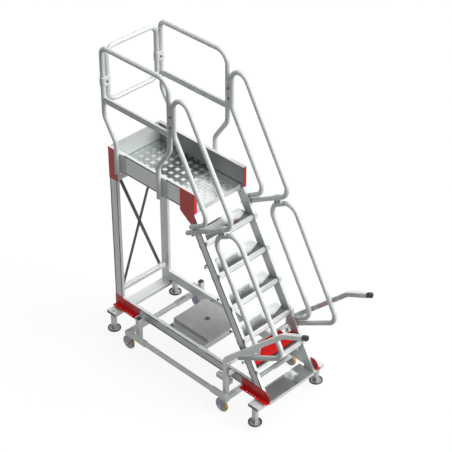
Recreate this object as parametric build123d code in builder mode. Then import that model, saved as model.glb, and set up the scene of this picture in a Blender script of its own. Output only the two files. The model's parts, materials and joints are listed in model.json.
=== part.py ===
"""Mobile platform ladder in millimetres, +Z up, standing on its four castors at Z = 0.

+Y is the way a climber walks up, +X is the climber's right. The stair has a constant pitch, and its
treads, stringers, handrails and platform are all placed from the pitch line through the tread noses.
"""

import math
import os

from build123d import *

os.makedirs("parts", exist_ok=True)

# Stair
RISE = 240.0
RISERS = 7
PITCH_DEG = 60.0
NOSE_Y = -674.0
COS = math.cos(math.radians(PITCH_DEG))
SIN = math.sin(math.radians(PITCH_DEG))
RUN = RISE * COS / SIN
DECK_Z = RISE * RISERS

# Slotted extrusion shared by beams, posts, stringers and platform boards
HALF_W = 280.0
WALL_X = 25.0
INNER_X = HALF_W - WALL_X
MID_X = HALF_W - WALL_X / 2
SKIN = 3.0
SLOT_W = 7.0
SLOT_DEPTH = 9.0
SLOT_EDGE = 9.0
SLOT_BAND = 22.0

# Treads
TREAD_DEPTH = 180.0
TREAD_LIP = 36.0
NOSE_BAND = 26.0
REAR_BAND = 18.0
RIB_PITCH = 10.0
RIB_W = 5.0
RIB_H = 2.0
SHEET = 4.0

# Red cover on the second tread
COVER_H = 45.0
COVER_T = 3.0
COVER_GAP = 4.0
COVER_SET = 22.0
COVER_WIDE = 102.0
COVER_LONG = 175.0
COVER_STEP = 56.0
COVER_RAKE = 22.0

# Feet and the two flat cross members that carry them
FOOT_LIFT = 54.0
FOOT_OUT = 79.0
FOOT_X = HALF_W + FOOT_OUT
FOOT_FRONT_Y = -609.0
FOOT_REAR_Y = 1070.0
DISC_R = 57.5
DISC_T = 12.0
DISC_BASE = 6.0
DISC_RIM = 7.0
DISC_EDGE = 3.0
LEG = 40.0
TRAVERSE_TOP = RISE
TRAVERSE_H = 28.0
TRAVERSE_W = 105.0
TRAVERSE_END = 26.0
FIRST_STEP_DEPTH = 160.0
STUD_R = 11.0
STUD_H = 16.0
STUD_PITCH = 60.0

# Base frame
PLATE_T = 4.0
FLANGE_W = 40.0
FLANGE_HOLE_R = 5.0
FLANGE_HOLE_IN = 13.0
FLANGE_HOLE_PITCH = 30.0
FLANGE_HOLES = 6
STUD_SET = 2.0
STUD_X = HALF_W + FLANGE_W / 2 + STUD_SET
PLATE_LEAD = 19.0
PLATE_FRONT_L = 305.0
PLATE_REAR_L = 302.0
PLATE_H = 94.0
PLATE_REAR_H = 104.0
PLATE_ROUND = 60.0
FLANGE_Z = TRAVERSE_TOP + STUD_H
BEAM_DROP = 8.0
BEAM_H = 90.0
BEAM_Z0 = FLANGE_Z + PLATE_T + BEAM_DROP
BEAM_Z1 = BEAM_Z0 + BEAM_H
STRINGER_W = 86.0
POST_W = 90.0
REAR_Y = 1122.0
POST_Y0 = REAR_Y - POST_W
BRACE_W = 28.0
BRACE_T = 5.0
BRACE_SET = 22.0
BRACE_INSET = 45.0
BRACE_Y = REAR_Y - BRACE_SET
CROSSBAR = 40.0
CROSSBAR_Y = BRACE_Y - BRACE_T - CROSSBAR / 2
CROSSBAR_LIFT = 42.0
CROSSBAR_LOW_Z = BEAM_Z1 + CROSSBAR_LIFT + CROSSBAR / 2
CROSSBAR_DROP = 120.0

# Platform
BOARD_SINK = 20.0
BOARD_H = 178.0
BOARD_Z0 = DECK_Z - BOARD_SINK
BOARD_Z1 = BOARD_Z0 + BOARD_H
CROSSBAR_HIGH_Z = BOARD_Z0 - CROSSBAR_DROP
BOARD_FRONT = 19.0
DECK_Y0 = NOSE_Y + RUN * (RISERS - 1)
BOARD_Y0 = DECK_Y0 - BOARD_FRONT
DECK_LIP = 44.0
JOIST_W = 30.0
JOISTS = 4
CORNER_W = 102.0
CORNER_DROP = 115.0
GUSSET_W = 156.0
GUSSET_DROP = 30.0

# Stair handrails, placed along the pitch line and square to it
TUBE_R = 20.0
EMBED = 3.0
RAIL_PAD_T = 8.0
RAIL_X = HALF_W + RAIL_PAD_T + TUBE_R - EMBED
RAIL_IN = 168.0
RAIL_OUT = 450.0
RAIL_BEND = 95.0
TOP_BEND = 88.0
UPRIGHT_BEND = 120.0
LOOP_BEND = 110.0
CLAMP_R = 25.0
CLAMP_H = 70.0
CLAMP_PITCH = 50.0
UPRIGHT_Y = 320.0
ARM_DROP = 140.0
UPPER_ARM_OUT = (BOARD_Z0 - RISE) / SIN - ARM_DROP
LOWER_ARM_OUT = 420.0
ARM_STEP = 45.0
UPPER_ARM_IN = UPPER_ARM_OUT + ARM_STEP
LOWER_ARM_IN = LOWER_ARM_OUT + ARM_STEP
LOWER_TOP = UPPER_ARM_OUT - CLAMP_PITCH
ARM_TAIL = 46.0
ARM_PAD = 30.0
ARM_PAD_L = 60.0

# Guard rails, stacked up and down from their clamp to the stair handrails
PAD_T = 10.0
PAD_W = 70.0
GUARD_X = HALF_W + PAD_T + TUBE_R - EMBED
GUARD_GAP = 45.0
GUARD_FRONT_Y = UPRIGHT_Y + GUARD_GAP
GUARD_REAR_Y = REAR_Y - 10.0
GUARD_CLAMP_H = 140.0
GUARD_WEB_R = 13.0
UPRIGHT_CLAMP = 110.0
FRONT_CLAMP_Z = RISE + (UPRIGHT_Y - NOSE_Y) * SIN / COS + RAIL_IN / COS + UPRIGHT_CLAMP
GUARD_OVER = 337.0
GUARD_TOP = FRONT_CLAMP_Z + GUARD_OVER
FRONT_SPREAD = 140.0
REAR_SPREAD = 122.0
GUARD_FOOT_DROP = 10.0
GUARD_FOOT_Z = BOARD_Z0 - GUARD_FOOT_DROP
SWAN_UP = 290.0
SWAN_H = 200.0
SWAN_LOW = GUARD_FOOT_Z + SWAN_UP
SWAN_TOP = SWAN_LOW + SWAN_H
SWAN_BEND = 100.0
REAR_BEND = 60.0
FRONT_BEND = 110.0
KNEE_UP = 145.0
KNEE_Z = SWAN_TOP + KNEE_UP
KNEE_H = 50.0
KNEE_T = 20.0
REAR_GUARD_PITCH = 49.0
REAR_GUARD_X = GUARD_X - REAR_GUARD_PITCH
REAR_GUARD_DROP = 23.0
REAR_GUARD_H = 470.0
REAR_GUARD_BEND = 80.0
REAR_GUARD_Z1 = GUARD_TOP - REAR_GUARD_DROP
REAR_GUARD_Z0 = REAR_GUARD_Z1 - REAR_GUARD_H
REAR_CLAMP_DROP = 277.0
REAR_CLAMP_Z = REAR_GUARD_Z1 - REAR_CLAMP_DROP

# Wheel frame with its two lift levers
FRAME_OUT = 122.0
FRAME_X = HALF_W + FRAME_OUT
FRAME_T = 40.0
FRAME_IN = 34.0
FRAME_WALL = 3.0
CASTOR_H = 140.0
FRAME_MID_Z = CASTOR_H + FRAME_T / 2
FRAME_FRONT_Y = -345.0
FRAME_REAR_SET = 263.0
FRAME_REAR_Y = REAR_Y - FRAME_REAR_SET
SLEEVE_FRONT = 184.0
SLEEVE_REAR = 243.0
SLEEVE_CROSS = 232.0
POST_X = FRAME_X - FRAME_T
LEVER_Y = FRAME_FRONT_Y + 1.5 * FRAME_T
FRAME_POST_SET = 117.0
FRAME_POST_Y = FRAME_REAR_Y - FRAME_POST_SET
FRAME_POST_RISE = 75.0
FRAME_POST_TOP = BEAM_Z0 + FRAME_POST_RISE
BRACKET_H = 38.0
BRACKET_REAR = 75.0
BRACKET_SET = 33.0
BRACKET_LIFT = 4.0
BRACKET_Z = BEAM_Z0 + BRACKET_LIFT + BRACKET_H / 2
LEVER_ARM_L = 151.0
LEVER_ARM_DROP = 19.0
LEVER_BLOCK_L = 45.0
LEVER_BLOCK_H = 34.0
LEVER_BLOCK_LIFT = 50.0
LEVER_KNEE_Z = 520.0
LEVER_ELBOW = (-894.0, 1107.0)
LEVER_END = (-1087.0, 1200.0)
LEVER_KNEE_R = 60.0
LEVER_ELBOW_R = 90.0
LEVER_TIE_Z = 460.0
LEVER_TIE = 30.0
KNOB_R = 23.0
KNOB_L = 46.0
KNOB_EDGE = 8.0
LUG_START = 180.0
LUG_L = 310.0
LUG_DEPTH = 74.0
LUG_T = 6.0
LUG_HOLE_R = 8.0

# Castors
WHEEL_R = 62.5
WHEEL_W = 28.0
TRAIL = 40.0
CASTOR_FRONT_SET = 26.0
CASTOR_REAR_SET = 63.0
CASTOR_FRONT_Y = FRAME_FRONT_Y + CASTOR_FRONT_SET
CASTOR_REAR_Y = FRAME_REAR_Y - CASTOR_REAR_SET
AXLE_R = 6.0
RUN_FIT = 0.05
SWIVEL_GAP = 0.3
ARM_GAP = 6.0
ARM_T = 4.0
CROWN_R = 27.0
CROWN_GAP = 5.5
EYE_R = 14.0
STEM_OVER = 20.0
HUB_R = 16.0
RIM_R = 48.0
DISH = 5.0
TREAD_EDGE = 6.0

# Ballast
SLAB_SIDE = 68.0
SLAB_X = INNER_X - SLAB_SIDE
SLAB_Y0 = 102.0
SLAB_Y1 = 503.0
SLAB_T = 47.0
SLAB_TOP = 390.0
SLAB_HOLE_R = 27.0
TRAY_T = 4.0
TRAY_LEDGE = 18.0
TRAY_FLANGE = 45.0
HOOK_W = 96.0
HOOK_SET = 29.0
HOOK_LIP = 16.0

SIDES = (("left", -1), ("right", 1))


def save(part, name):
    """Label one piece and write it."""
    part.label = name
    export_step(part, f"parts/{name}.step")


def on_stair(along, out):
    """Y and Z of a point so far up the pitch line from the first nose, and so far out from it."""
    return NOSE_Y + along * COS - out * SIN, RISE + along * SIN + out * COS


def bent_line(points, bends):
    """Straight runs through the points, with an arc of the given radius at each inner point."""
    here = Vector(*points[0])
    for k, bend in enumerate(bends, start=1):
        corner = Vector(*points[k])
        back = (Vector(*points[k - 1]) - corner).normalized()
        ahead = (Vector(*points[k + 1]) - corner).normalized()
        half = math.radians(back.get_angle(ahead)) / 2
        leg = bend / math.tan(half)
        middle = corner + (back + ahead).normalized() * (bend / math.sin(half) - bend)
        Line(here, corner + back * leg)
        ThreePointArc(corner + back * leg, middle, corner + ahead * leg)
        here = corner + ahead * leg
    Line(here, Vector(*points[-1]))


def start_plane(points):
    """Plane square to the first run of a bent line, its X along the ladder's width."""
    ahead = Vector(*points[1]) - Vector(*points[0])
    return Plane(origin=points[0], x_dir=(1, 0, 0), z_dir=ahead)


def slot_section(height):
    """Hollow extrusion: outer face on local +X with a slot near each edge."""
    Rectangle(WALL_X, height)
    Rectangle(WALL_X - 2 * SKIN, height - 2 * SLOT_BAND, mode=Mode.SUBTRACT)
    slot_x = WALL_X / 2 - SLOT_DEPTH / 2
    slot_y = height / 2 - SLOT_EDGE
    with Locations((slot_x, slot_y), (slot_x, -slot_y)):
        Rectangle(SLOT_DEPTH, SLOT_W, mode=Mode.SUBTRACT)


def square_section(outer):
    """Square tube with small outer corners."""
    RectangleRounded(outer, outer, 4)
    RectangleRounded(outer - 2 * FRAME_WALL, outer - 2 * FRAME_WALL, 2, mode=Mode.SUBTRACT)


def stadium(a, b, radius):
    """Two circles joined by their hull, as the outline of a clamp round two tubes."""
    with Locations(a, b):
        Circle(radius)
    make_hull()


# Base beams, mitred against the stringers
mitre_y, mitre_z = on_stair(0, -STRINGER_W)
for side_name, side in SIDES:
    with BuildPart() as base_beam:
        beam_plane = Plane(
            origin=(side * MID_X, NOSE_Y - RUN, (BEAM_Z0 + BEAM_Z1) / 2),
            x_dir=(side, 0, 0),
            z_dir=(0, 1, 0),
        )
        with BuildSketch(beam_plane):
            slot_section(BEAM_H)
        extrude(amount=POST_Y0 - NOSE_Y + RUN)
        split(bisect_by=Plane(origin=(0, mitre_y, mitre_z), x_dir=(1, 0, 0), z_dir=(0, SIN, -COS)))
    save(base_beam.part, f"base_beam_{side_name}")

# Stringers, cut level on the front cross member and under the platform boards
for side_name, side in SIDES:
    with BuildPart() as stringer:
        low_y, low_z = on_stair(-2 * RISE, -STRINGER_W / 2)
        stair_plane = Plane(
            origin=(side * MID_X, low_y, low_z), x_dir=(side, 0, 0), z_dir=(0, COS, SIN)
        )
        with BuildSketch(stair_plane):
            slot_section(STRINGER_W)
        extrude(amount=RISE * (RISERS + 4))
        split(bisect_by=Plane.XY.offset(TRAVERSE_TOP), keep=Keep.TOP)
        split(bisect_by=Plane.XY.offset(BOARD_Z0), keep=Keep.BOTTOM)
    save(stringer.part, f"stringer_{side_name}")

# Rear posts, standing on the rear cross member
for side_name, side in SIDES:
    with BuildPart() as rear_post:
        post_plane = Plane(
            origin=(side * MID_X, REAR_Y - POST_W / 2, TRAVERSE_TOP), x_dir=(side, 0, 0), z_dir=(0, 0, 1)
        )
        with BuildSketch(post_plane):
            slot_section(POST_W)
        extrude(amount=BOARD_Z0 - TRAVERSE_TOP)
    save(rear_post.part, f"rear_post_{side_name}")

# Treads two to six: ribbed extrusions between the stringers
rib_run = TREAD_DEPTH - NOSE_BAND - REAR_BAND
rib_count = int(rib_run / RIB_PITCH)
for number in range(2, RISERS):
    with BuildPart() as tread:
        tread_plane = Plane(
            origin=(-INNER_X, NOSE_Y + RUN * (number - 1), RISE * number),
            x_dir=(0, 1, 0),
            z_dir=(1, 0, 0),
        )
        with BuildSketch(tread_plane):
            with Locations((TREAD_DEPTH / 2, -RIB_H - SHEET / 2)):
                Rectangle(TREAD_DEPTH, SHEET)
            with Locations((NOSE_BAND / 2, -TREAD_LIP / 2)):
                Rectangle(NOSE_BAND, TREAD_LIP)
            with Locations((NOSE_BAND / 2, -TREAD_LIP / 2 - SHEET / 2)):
                Rectangle(NOSE_BAND - 2 * SHEET, TREAD_LIP - 2 * SHEET - RIB_H, mode=Mode.SUBTRACT)
            with Locations((TREAD_DEPTH - REAR_BAND / 2, -RIB_H)):
                Rectangle(REAR_BAND, 2 * RIB_H)
            with Locations((TREAD_DEPTH - SHEET / 2, -TREAD_LIP / 2)):
                Rectangle(SHEET, TREAD_LIP)
            with Locations((NOSE_BAND + rib_run / 2, -RIB_H / 2)):
                with GridLocations(RIB_PITCH, 1, rib_count, 1):
                    Rectangle(RIB_W, RIB_H)
        extrude(amount=2 * INNER_X)
    save(tread.part, f"tread_{number}")

# Cover on the second tread: raked front lip, narrower behind the stringers
cover_y0 = NOSE_Y + RUN + COVER_SET
cover_z0 = 2 * RISE
cover_x = INNER_X - COVER_GAP
with BuildPart() as step_cover:
    with BuildSketch(Plane.XY.offset(cover_z0 + COVER_H - COVER_T)):
        with Locations((0, cover_y0 + COVER_WIDE / 2)):
            Rectangle(2 * cover_x, COVER_WIDE)
        with Locations((0, cover_y0 + COVER_LONG / 2)):
            Rectangle(2 * (cover_x - COVER_STEP), COVER_LONG)
    extrude(amount=COVER_T)
    with BuildSketch(Plane.YZ):
        with BuildLine():
            Polyline(
                (cover_y0, cover_z0 + COVER_H - COVER_T),
                (cover_y0 + COVER_RAKE, cover_z0),
                (cover_y0 + COVER_RAKE + COVER_T, cover_z0),
                (cover_y0 + COVER_T, cover_z0 + COVER_H - COVER_T),
                close=True,
            )
        make_face()
    extrude(amount=cover_x, both=True)
    with BuildSketch(Plane.XY.offset(cover_z0)):
        with Locations((0, cover_y0 + (COVER_RAKE + COVER_WIDE) / 2)):
            with GridLocations(2 * (cover_x - COVER_STEP) - COVER_T, 1, 2, 1):
                Rectangle(COVER_T, COVER_WIDE - COVER_RAKE)
    extrude(amount=COVER_H - COVER_T)
save(step_cover.part, "step_cover")

# Front cross member, which is also the first step, and the rear one
TRAVERSES = (
    # name, foot line Y, depth of the wide middle, Y of its front edge
    ("front_traverse", FOOT_FRONT_Y, FIRST_STEP_DEPTH, NOSE_Y),
    ("rear_traverse", FOOT_REAR_Y, TRAVERSE_W, FOOT_REAR_Y - TRAVERSE_W / 2),
)
half_span = FOOT_X + TRAVERSE_END
for name, foot_y, middle_depth, middle_y0 in TRAVERSES:
    with BuildPart() as traverse:
        end_plane = Plane(
            origin=(-half_span, foot_y, TRAVERSE_TOP - TRAVERSE_H / 2), x_dir=(0, 1, 0), z_dir=(1, 0, 0)
        )
        with BuildSketch(end_plane):
            Rectangle(TRAVERSE_W, TRAVERSE_H)
        extrude(amount=2 * half_span)
        with Locations((0, middle_y0 + middle_depth / 2, TRAVERSE_TOP - TRAVERSE_H / 2)):
            Box(2 * INNER_X, middle_depth, TRAVERSE_H)
        with BuildSketch(end_plane):
            with GridLocations(TRAVERSE_W / 2 - SKIN / 2, 0, 2, 1):
                Rectangle(TRAVERSE_W / 2 - 1.5 * SKIN - 1, TRAVERSE_H - 2 * SKIN)
        extrude(amount=2 * half_span, mode=Mode.SUBTRACT)
        with BuildSketch(Plane.XY.offset(TRAVERSE_TOP)):
            with Locations((0, foot_y)):
                with GridLocations(2 * STUD_X, STUD_PITCH, 2, 2):
                    Circle(STUD_R)
        extrude(amount=STUD_H)
    save(traverse.part, name)

# Feet: square leg on a round dished foot plate
CORNERS = (
    # name, side, foot line Y, front or rear
    ("front_left", -1, FOOT_FRONT_Y, -1),
    ("front_right", 1, FOOT_FRONT_Y, -1),
    ("rear_left", -1, FOOT_REAR_Y, 1),
    ("rear_right", 1, FOOT_REAR_Y, 1),
)
for name, side, foot_y, end in CORNERS:
    with BuildPart() as foot:
        with BuildSketch(Plane.XY.offset(FOOT_LIFT)):
            with Locations((side * FOOT_X, foot_y)):
                Circle(DISC_R)
        extrude(amount=DISC_T)
        chamfer(foot.edges().group_by(Axis.Z)[-1], DISC_EDGE)
        with BuildSketch(Plane.XY.offset(FOOT_LIFT + DISC_BASE)):
            with Locations((side * FOOT_X, foot_y)):
                Circle(DISC_R - DISC_RIM)
        extrude(amount=DISC_T, mode=Mode.SUBTRACT)
        with BuildSketch(Plane.XY.offset(FOOT_LIFT + DISC_BASE)):
            with Locations((side * FOOT_X, foot_y)):
                square_section(LEG)
        extrude(amount=TRAVERSE_TOP - TRAVERSE_H - FOOT_LIFT - DISC_BASE)
    save(foot.part, f"foot_{name}")

# Red base plates: upright plate on the beam, foot flange bolted down to the cross member
BASE_PLATES = (
    # end, first Y, last Y, height at the first Y, height at the last Y, front corner radius
    (-1, NOSE_Y - PLATE_LEAD, NOSE_Y - PLATE_LEAD + PLATE_FRONT_L, PLATE_H, PLATE_H, PLATE_ROUND),
    (1, REAR_Y - PLATE_REAR_L, REAR_Y, PLATE_H, PLATE_REAR_H, PLATE_ROUND / 10),
)
for name, side, foot_y, end in CORNERS:
    plate_y0, plate_y1, height0, height1, round_r = next(row[1:] for row in BASE_PLATES if row[0] == end)
    with BuildPart() as base_plate:
        with BuildSketch(Plane.YZ.offset(side * HALF_W)):
            with BuildLine():
                FilletPolyline(
                    (plate_y1, FLANGE_Z),
                    (plate_y0, FLANGE_Z),
                    (plate_y0, FLANGE_Z + height0),
                    (plate_y1, FLANGE_Z + height1),
                    radius=(1, round_r),
                )
                Line((plate_y1, FLANGE_Z + height1), (plate_y1, FLANGE_Z))
            make_face()
        extrude(amount=side * PLATE_T)
        with BuildSketch(Plane.XY.offset(FLANGE_Z)):
            with Locations((side * (HALF_W + FLANGE_W / 2), (plate_y0 + plate_y1) / 2)):
                Rectangle(FLANGE_W, plate_y1 - plate_y0)
            with Locations((side * (HALF_W + FLANGE_W - FLANGE_HOLE_IN), (plate_y0 + plate_y1) / 2)):
                with GridLocations(1, FLANGE_HOLE_PITCH, 1, FLANGE_HOLES):
                    Circle(FLANGE_HOLE_R, mode=Mode.SUBTRACT)
        extrude(amount=PLATE_T)
    save(base_plate.part, f"base_plate_{name}")

# Cross bars between the rear posts
CROSSBARS = (("rear_crossbar_low", CROSSBAR_LOW_Z), ("rear_crossbar_high", CROSSBAR_HIGH_Z))
for name, level in CROSSBARS:
    with BuildPart() as crossbar:
        bar_plane = Plane(origin=(-INNER_X, CROSSBAR_Y, level), x_dir=(0, 1, 0), z_dir=(1, 0, 0))
        with BuildSketch(bar_plane):
            square_section(CROSSBAR)
        extrude(amount=2 * INNER_X)
    save(crossbar.part, name)

# Crossed braces between the cross bars, lying flat on each other where they meet
brace_x = INNER_X - BRACE_INSET
for name, side, brace_y in (("brace_a", 1, BRACE_Y), ("brace_b", -1, BRACE_Y - BRACE_T)):
    with BuildPart() as brace:
        with BuildSketch(Plane.XZ.offset(-brace_y)):
            stadium((-side * brace_x, CROSSBAR_LOW_Z), (side * brace_x, CROSSBAR_HIGH_Z), BRACE_W / 2)
        extrude(amount=-BRACE_T)
    save(brace.part, name)

# Platform boards
for side_name, side in SIDES:
    with BuildPart() as board:
        board_plane = Plane(
            origin=(side * MID_X, BOARD_Y0, (BOARD_Z0 + BOARD_Z1) / 2), x_dir=(side, 0, 0), z_dir=(0, 1, 0)
        )
        with BuildSketch(board_plane):
            slot_section(BOARD_H)
        extrude(amount=REAR_Y - BOARD_Y0)
    save(board.part, f"board_{side_name}")

with BuildPart() as board_rear:
    rear_board_plane = Plane(
        origin=(-INNER_X, REAR_Y - WALL_X / 2, (BOARD_Z0 + BOARD_Z1) / 2), x_dir=(0, 1, 0), z_dir=(1, 0, 0)
    )
    with BuildSketch(rear_board_plane):
        slot_section(BOARD_H)
    extrude(amount=2 * INNER_X)
save(board_rear.part, "board_rear")

# Deck plate with its nose and joists
deck_y1 = REAR_Y - WALL_X
with BuildPart() as deck:
    deck_plane = Plane(origin=(-INNER_X, DECK_Y0, DECK_Z), x_dir=(0, 1, 0), z_dir=(1, 0, 0))
    deck_depth = deck_y1 - DECK_Y0
    joist_pitch = (deck_depth - NOSE_BAND - JOIST_W) / JOISTS
    with BuildSketch(deck_plane):
        with Locations((deck_depth / 2, -SHEET / 2)):
            Rectangle(deck_depth, SHEET)
        with Locations((NOSE_BAND / 2, -DECK_LIP / 2)):
            Rectangle(NOSE_BAND, DECK_LIP)
            Rectangle(NOSE_BAND - 2 * SHEET, DECK_LIP - 2 * SHEET, mode=Mode.SUBTRACT)
        for k in range(1, JOISTS + 1):
            joist_y = NOSE_BAND + joist_pitch * k
            with Locations((joist_y, -DECK_LIP / 2)):
                Rectangle(JOIST_W, DECK_LIP)
                Rectangle(JOIST_W - 2 * SHEET, DECK_LIP - 2 * SHEET, mode=Mode.SUBTRACT)
    extrude(amount=2 * INNER_X)
save(deck.part, "deck")

# Red platform corners: plain plates at the back, gussets with a folded front edge at the stair
gusset_tail = UPPER_ARM_IN + ARM_PAD / 2 + 8
for side_name, side in SIDES:
    with BuildPart() as corner_rear:
        with BuildSketch(Plane.YZ.offset(side * HALF_W)):
            with Locations((REAR_Y - CORNER_W / 2, (BOARD_Z1 + BOARD_Z0 - CORNER_DROP) / 2)):
                Rectangle(CORNER_W, BOARD_H + CORNER_DROP)
        extrude(amount=side * PLATE_T)
    save(corner_rear.part, f"corner_rear_{side_name}")
    with BuildPart() as corner_front:
        with BuildSketch(Plane.YZ.offset(side * HALF_W)):
            with BuildLine():
                Polyline(
                    (BOARD_Y0, BOARD_Z1),
                    (BOARD_Y0 + GUSSET_W, BOARD_Z1),
                    (BOARD_Y0 + GUSSET_W, BOARD_Z0 - GUSSET_DROP),
                    on_stair(gusset_tail, -STRINGER_W),
                    on_stair(gusset_tail, -20),
                    (BOARD_Y0, BOARD_Z0 - 20),
                    close=True,
                )
            make_face()
        extrude(amount=side * PLATE_T)
        with Locations((side * (MID_X + PLATE_T / 2), BOARD_Y0 - PLATE_T / 2, (BOARD_Z0 + BOARD_Z1) / 2)):
            Box(WALL_X + PLATE_T, PLATE_T, BOARD_H)
    save(corner_front.part, f"corner_front_{side_name}")

# Side guard rails with swan-neck feet, knee rail and mounting pads
for side_name, side in SIDES:
    guard_x = side * GUARD_X
    guard_line = [
        (guard_x, GUARD_REAR_Y - REAR_SPREAD, GUARD_FOOT_Z),
        (guard_x, GUARD_REAR_Y - REAR_SPREAD, SWAN_LOW),
        (guard_x, GUARD_REAR_Y, SWAN_TOP),
        (guard_x, GUARD_REAR_Y, GUARD_TOP),
        (guard_x, GUARD_FRONT_Y, GUARD_TOP),
        (guard_x, GUARD_FRONT_Y, SWAN_TOP),
        (guard_x, GUARD_FRONT_Y + FRONT_SPREAD, SWAN_LOW),
        (guard_x, GUARD_FRONT_Y + FRONT_SPREAD, GUARD_FOOT_Z),
    ]
    with BuildPart() as guard_rail:
        with BuildLine() as guard_path:
            bent_line(guard_line, [SWAN_BEND, SWAN_BEND, REAR_BEND, FRONT_BEND, SWAN_BEND, SWAN_BEND])
        with BuildSketch(start_plane(guard_line)):
            Circle(TUBE_R)
        sweep(path=guard_path.wire())
        with Locations((guard_x, (GUARD_REAR_Y + GUARD_FRONT_Y) / 2, KNEE_Z)):
            Box(KNEE_T, GUARD_REAR_Y - GUARD_FRONT_Y, KNEE_H)
        pad_mid_z = (BOARD_Z0 + BOARD_Z1) / 2
        for foot_y in (GUARD_REAR_Y - REAR_SPREAD, GUARD_FRONT_Y + FRONT_SPREAD):
            with Locations((side * (HALF_W + PAD_T / 2), foot_y + TUBE_R / 2 - PAD_W / 2, pad_mid_z)):
                Box(PAD_T, PAD_W, BOARD_H)
    save(guard_rail.part, f"guard_rail_{side_name}")

# Rear guard: rounded frame held to the side guards by a clamp round both tubes
rear_guard_mid = (0, GUARD_REAR_Y, (REAR_GUARD_Z0 + REAR_GUARD_Z1) / 2)
rear_guard_line = [
    (0, GUARD_REAR_Y, REAR_GUARD_Z0),
    (REAR_GUARD_X, GUARD_REAR_Y, REAR_GUARD_Z0),
    (REAR_GUARD_X, GUARD_REAR_Y, REAR_GUARD_Z1),
    (-REAR_GUARD_X, GUARD_REAR_Y, REAR_GUARD_Z1),
    (-REAR_GUARD_X, GUARD_REAR_Y, REAR_GUARD_Z0),
    (0, GUARD_REAR_Y, REAR_GUARD_Z0),
]
with BuildPart() as rear_guard:
    with BuildLine() as rear_guard_path:
        bent_line(rear_guard_line, 4 * [REAR_GUARD_BEND])
    with BuildSketch(Plane.YZ):
        with Locations((GUARD_REAR_Y, REAR_GUARD_Z0)):
            Circle(TUBE_R)
    sweep(path=rear_guard_path.wire())
    for side in (-1, 1):
        with BuildSketch(Plane.XY.offset(REAR_CLAMP_Z - CLAMP_H / 2)):
            stadium((side * REAR_GUARD_X, GUARD_REAR_Y), (side * GUARD_X, GUARD_REAR_Y), CLAMP_R)
            with Locations((side * GUARD_X, GUARD_REAR_Y)):
                Circle(TUBE_R, mode=Mode.SUBTRACT)
        extrude(amount=CLAMP_H)
save(rear_guard.part, "rear_guard")

# Upper handrails: arms square to the stair, sloping tubes, upright beside the guard's front post
upright_in = (UPRIGHT_Y - NOSE_Y + RAIL_IN * SIN) / COS
upright_out = (UPRIGHT_Y - NOSE_Y + RAIL_OUT * SIN) / COS
UPPER_RAIL = (
    # along the pitch line, out from it, bend radius there
    (UPPER_ARM_IN, -STRINGER_W + 26, 0),
    (UPPER_ARM_IN, RAIL_IN, RAIL_BEND),
    (upright_in, RAIL_IN, UPRIGHT_BEND),
    (upright_out, RAIL_OUT, TOP_BEND),
    (UPPER_ARM_OUT, RAIL_OUT, RAIL_BEND),
    (UPPER_ARM_OUT, -STRINGER_W - ARM_TAIL, 0),
)
LOWER_RAIL = (
    (LOWER_ARM_IN, -STRINGER_W + 26, 0),
    (LOWER_ARM_IN, RAIL_IN, RAIL_BEND),
    (LOWER_TOP, RAIL_IN, LOOP_BEND),
    (LOWER_TOP, RAIL_OUT, LOOP_BEND),
    (LOWER_ARM_OUT, RAIL_OUT, RAIL_BEND),
    (LOWER_ARM_OUT, -STRINGER_W - 10, 0),
)
HANDRAILS = (("handrail_upper", UPPER_RAIL), ("handrail_lower", LOWER_RAIL))
pad_h = RAIL_X - HALF_W - TUBE_R + EMBED + 6
for rail_name, stations in HANDRAILS:
    for side_name, side in SIDES:
        rail_line = [(side * RAIL_X, *on_stair(along, out)) for along, out, bend in stations]
        with BuildPart() as handrail:
            with BuildLine() as rail_path:
                bent_line(rail_line, [bend for along, out, bend in stations[1:-1]])
            with BuildSketch(start_plane(rail_line)):
                Circle(TUBE_R)
            sweep(path=rail_path.wire())
            for along in (stations[0][0], stations[-1][0]):
                pad_y, pad_z = on_stair(along, -STRINGER_W / 2)
                pad_plane = Plane(
                    origin=(side * HALF_W, pad_y, pad_z), x_dir=(0, COS, SIN), z_dir=(side, 0, 0)
                )
                with BuildSketch(pad_plane):
                    Rectangle(ARM_PAD, ARM_PAD_L)
                extrude(amount=pad_h)
            if rail_name == "handrail_upper":
                with BuildSketch(Plane.XY.offset(FRONT_CLAMP_Z - GUARD_CLAMP_H / 2)):
                    stadium((side * RAIL_X, UPRIGHT_Y), (side * GUARD_X, GUARD_FRONT_Y), GUARD_WEB_R)
                    with Locations((side * GUARD_X, GUARD_FRONT_Y)):
                        Circle(TUBE_R, mode=Mode.SUBTRACT)
                extrude(amount=GUARD_CLAMP_H)
            else:
                grip_y, grip_z = on_stair(0, (RAIL_IN + RAIL_OUT) / 2)
                grip_plane = Plane(
                    origin=(side * RAIL_X, grip_y, grip_z), x_dir=(0, COS, SIN), z_dir=(0, -SIN, COS)
                )
                with BuildSketch(grip_plane):
                    stadium((LOWER_TOP, 0), (UPPER_ARM_OUT, 0), CLAMP_R)
                    with Locations((UPPER_ARM_OUT, 0)):
                        Circle(TUBE_R, mode=Mode.SUBTRACT)
                extrude(amount=CLAMP_H / 2, both=True)
        save(handrail.part, f"{rail_name}_{side_name}")

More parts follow.
